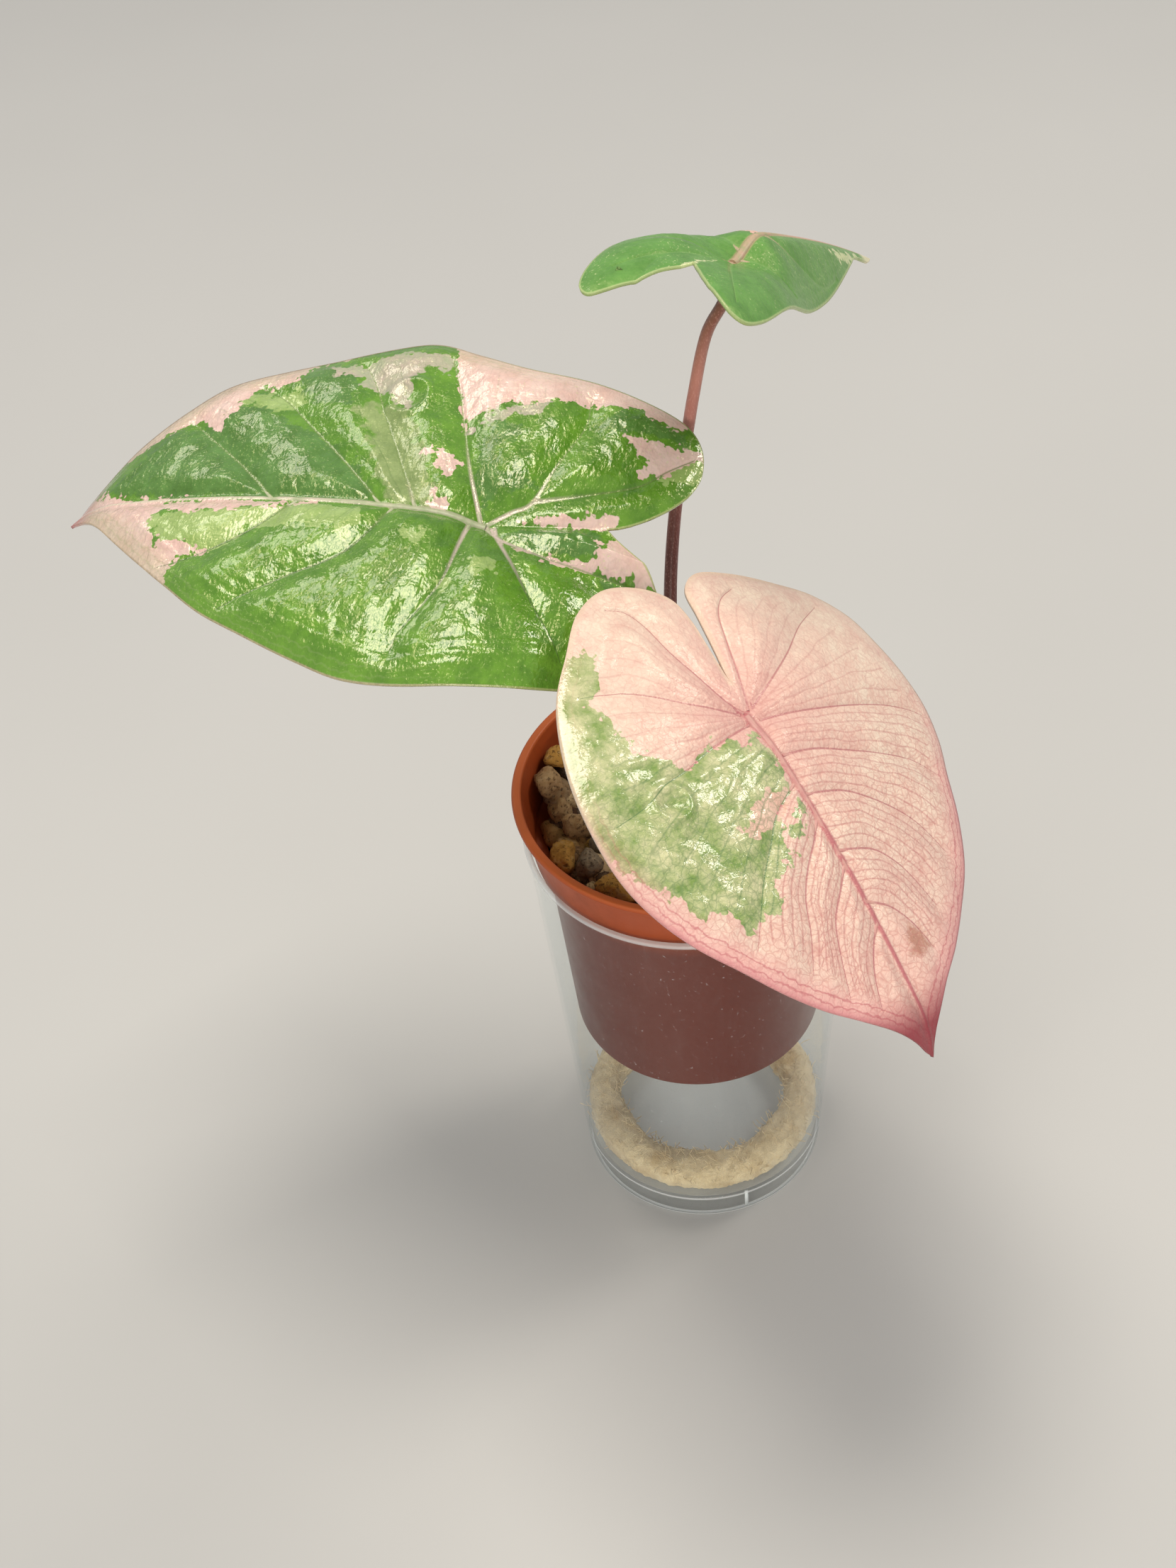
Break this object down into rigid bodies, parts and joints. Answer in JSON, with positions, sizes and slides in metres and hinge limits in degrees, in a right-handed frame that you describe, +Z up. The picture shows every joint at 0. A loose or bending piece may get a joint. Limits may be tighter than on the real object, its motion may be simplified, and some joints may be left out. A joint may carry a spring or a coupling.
{
  "type": "potted houseplant",
  "caption": "Variegated arrowhead-leaved houseplant on slim stalks, in a terracotta-coloured nursery pot that hangs by its collar inside a tall clear self-watering cup.",
  "frame": {"origin": "under the middle of the whole plant's bounding box, on the surface that the cup stands on", "axes": "+Z up along the cup's axis; +Y away from the viewer of the picture; +X to that viewer's right"},
  "size_m": [0.195, 0.1892, 0.2691],
  "materials": {
    "clear_plastic": "clear hard plastic, polished, with faint handling scuffs",
    "felt": "loose cream cotton felt, stained ochre in places",
    "terracotta_plastic": "terracotta-coloured injection-moulded plastic, satin",
    "grit": "rough porous mineral grit",
    "grit_tan": "rough tan pumice and clay stone",
    "grit_ochre": "rough ochre clay stone",
    "grit_grey": "rough grey-brown lava stone",
    "stem": "smooth mauve-brown plant stalk, finely speckled",
    "leaf_top": "waxy green leaf with cream and pink streaks",
    "leaf_left": "waxy wrinkled green leaf, blotched pink, cream and dark green",
    "leaf_pink": "waxy cream-pink leaf with pink veins and one sage-green patch"
  },
  "bodies": {
    "root": {"clear_cup": "clear_plastic", "felt_ring": "felt", "nursery_pot": "terracotta_plastic", "grit_bed": "grit", "crown": "stem", "stalk_top": "stem", "stalk_left": "stem", "stalk_pink": "stem", "blade_top": "leaf_top", "blade_left": "leaf_left", "blade_pink": "leaf_pink", "stone_tan_big": "grit_tan", "stone_tan_pale": "grit_tan", "stone_buff": "grit_tan", "stone_grey": "grit_grey", "stone_lava": "grit_grey", "stone_ochre_back": "grit_ochre", "stone_ochre_left": "grit_ochre", "stone_ochre_right": "grit_ochre"}
  },
  "joints": []
}
